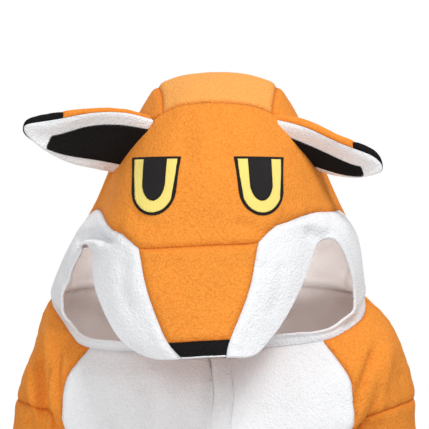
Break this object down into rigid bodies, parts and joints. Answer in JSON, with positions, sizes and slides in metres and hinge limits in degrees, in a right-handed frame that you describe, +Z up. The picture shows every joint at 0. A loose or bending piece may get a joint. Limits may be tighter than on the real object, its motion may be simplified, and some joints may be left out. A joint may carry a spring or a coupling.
{
  "type": "fox onesie",
  "caption": "Hooded fleece animal costume in one piece, worn and hollow, with a fox muzzle as a visor, drooping ears, white bib, open cuffs and hems.",
  "frame": {"origin": "between the shoulders, level with the top of the sleeves, where the wearer holds the garment up", "axes": "+Z up from hems to hood, front towards -Y, the wearer's left towards +X"},
  "size_m": [0.7938, 0.4012, 1.6022],
  "materials": {
    "orange_fleece": "matte brushed polar fleece",
    "crown_fleece": "matte brushed polar fleece",
    "white_fleece": "matte brushed polar fleece",
    "lining": "matte brushed fleece, grey in shade",
    "black_fleece": "matte short fleece",
    "black_thread": "satin stitched patch",
    "yellow_patch": "short napped patch"
  },
  "bodies": {
    "root": {"back_left": "orange_fleece", "back_right": "orange_fleece", "bib_left": "white_fleece", "bib_right": "white_fleece", "ear_back_left": "orange_fleece", "ear_back_right": "orange_fleece", "ear_front_left": "white_fleece", "ear_front_right": "white_fleece", "ear_patch_left": "black_fleece", "ear_patch_right": "black_fleece", "ear_tip_left": "black_fleece", "ear_tip_right": "black_fleece", "eye_outline_left": "black_thread", "eye_outline_right": "black_thread", "eye_pupil_left": "black_fleece", "eye_pupil_right": "black_fleece", "eye_yellow_left": "yellow_patch", "eye_yellow_right": "yellow_patch", "front_left": "orange_fleece", "front_right": "orange_fleece", "hood_cheek_left": "white_fleece", "hood_cheek_right": "white_fleece", "hood_crown": "crown_fleece", "hood_face": "orange_fleece", "hood_lining_left": "lining", "hood_lining_right": "lining", "hood_side_left": "orange_fleece", "hood_side_right": "orange_fleece", "hood_snout": "orange_fleece", "nose": "black_fleece", "placket": "white_fleece", "sleeve_left": "orange_fleece", "sleeve_right": "orange_fleece"}
  },
  "joints": []
}
